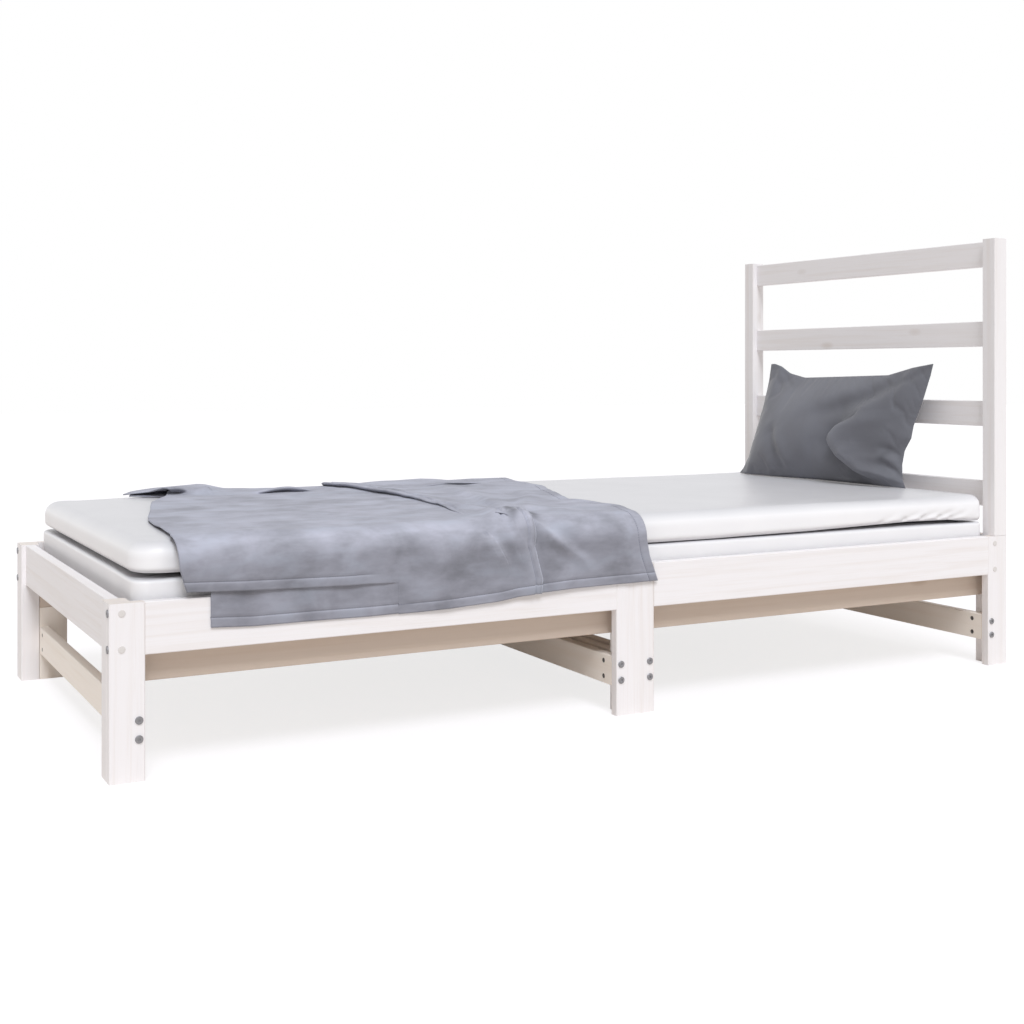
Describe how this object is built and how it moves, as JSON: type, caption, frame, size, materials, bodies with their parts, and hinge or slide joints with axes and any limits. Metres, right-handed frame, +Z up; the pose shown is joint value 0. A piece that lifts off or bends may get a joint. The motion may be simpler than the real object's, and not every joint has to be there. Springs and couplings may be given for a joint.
{
  "type": "pull-out bench bed",
  "caption": "Low pine day bed with a slatted headboard whose front frame slides out to double its width, with stacked mattresses, pillow and throw.",
  "frame": {"origin": "on the floor, at the middle of the closed bed's outline", "axes": "+X from the foot to the headboard, +Y from the front to the wall side, +Z up"},
  "size_m": [2.104, 0.976, 1.01],
  "materials": {
    "white_pine": "white-washed pine, satin lacquer",
    "slat_pine": "planed pine, white-washed",
    "dowel_beech": "bare beech",
    "bolt_steel": "zinc-plated steel",
    "plug_white": "moulded plastic cap",
    "mattress_cover": "smooth white knitted cover",
    "pillow_satin": "dark grey cotton satin",
    "throw_velvet": "grey-blue brushed velvet"
  },
  "bodies": {
    "wall_frame": {"end_board_foot": "white_pine", "end_board_head": "white_pine", "headboard_dowels": "dowel_beech", "headboard_post_front": "white_pine", "headboard_post_wall": "white_pine", "headboard_slat_1": "white_pine", "headboard_slat_2": "white_pine", "headboard_slat_3": "white_pine", "headboard_slat_4": "white_pine", "rear_batten": "white_pine", "rear_leg_foot": "white_pine", "rear_leg_head": "white_pine", "rear_leg_middle": "white_pine", "rear_post_foot": "white_pine", "rear_post_head": "white_pine", "rear_rail_foot_half": "white_pine", "rear_rail_head_half": "white_pine", "support_rail": "white_pine", "wall_cross_rail": "white_pine", "wall_frame_bolts": "bolt_steel", "wall_post_foot": "white_pine", "wall_post_head": "white_pine", "wall_post_middle": "white_pine", "wall_slats_1": "slat_pine", "wall_slats_2": "slat_pine", "wall_slats_3": "slat_pine", "wall_slats_4": "slat_pine", "wall_slats_5": "slat_pine", "wall_slats_6": "slat_pine"},
    "pull_out_frame": {"cross_nuts": "bolt_steel", "cross_rail_foot": "white_pine", "cross_rail_head": "white_pine", "cross_rail_middle_left": "white_pine", "cross_rail_middle_right": "white_pine", "front_batten_foot_half": "white_pine", "front_batten_head_half": "white_pine", "front_leg_foot": "white_pine", "front_leg_head": "white_pine", "front_leg_middle": "white_pine", "front_plugs": "plug_white", "front_rail_foot_half": "white_pine", "front_rail_head_half": "white_pine", "inner_leg_foot": "white_pine", "inner_leg_head": "white_pine", "inner_leg_middle_left": "white_pine", "inner_leg_middle_right": "white_pine", "inner_rear_rail": "white_pine", "pull_out_frame_bolts": "bolt_steel", "pull_out_slats_1": "slat_pine", "pull_out_slats_2": "slat_pine", "pull_out_slats_3": "slat_pine", "pull_out_slats_4": "slat_pine", "pull_out_slats_5": "slat_pine", "pull_out_slats_6": "slat_pine", "lower_mattress": "mattress_cover"},
    "loose_bedding": {"upper_mattress": "mattress_cover", "pillow": "pillow_satin", "throw": "throw_velvet"}
  },
  "joints": [
    {"name": "pull_out", "type": "slide", "parent": "wall_frame", "child": "pull_out_frame", "axis": [0, -1, 0], "range_m": [0, 0.835]},
    {"name": "bedding_lift", "type": "slide", "parent": "pull_out_frame", "child": "loose_bedding", "axis": [0, 0, 1], "range_m": [0, 0.25]}
  ]
}
